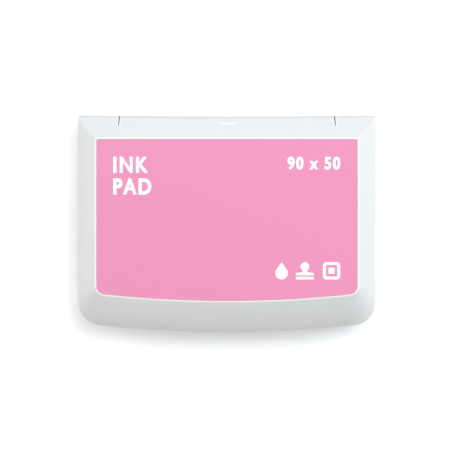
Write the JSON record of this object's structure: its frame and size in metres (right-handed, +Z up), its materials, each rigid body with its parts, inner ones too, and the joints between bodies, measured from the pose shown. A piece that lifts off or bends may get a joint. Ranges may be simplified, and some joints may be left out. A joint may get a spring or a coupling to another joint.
{
  "type": "ink pad",
  "caption": "Stamp ink pad in a clamshell plastic case: a label let into the lid, a lid hinged at the rear, and a raised cloth-covered pad on a flat deck inside.",
  "frame": {"origin": "middle of the case's footprint, on the surface that it stands on", "axes": "+X to the right along the width, +Y to the rear where the hinge is, +Z up"},
  "size_m": [0.12, 0.0874, 0.0185],
  "materials": {
    "case_plastic": "fine moulded grain",
    "inner_plastic": "satin",
    "printed_film": "satin print",
    "inked_felt": "damp felt",
    "inked_cloth": "fine weave, damp with ink",
    "paper_label": "coated paper"
  },
  "bodies": {
    "base": {"base_shell": "case_plastic", "base_label": "paper_label", "pad_tray": "inner_plastic", "ink_felt": "inked_felt", "pad_cloth": "inked_cloth", "pad_frame": "inner_plastic"},
    "lid": {"lid_shell": "case_plastic", "lid_label": "printed_film"}
  },
  "joints": [
    {"name": "lid_hinge", "type": "hinge", "parent": "base", "child": "lid", "pos_m": [0, 0.0395, 0.0094], "axis": [-1, 0, 0], "range_deg": [0, 180]}
  ]
}
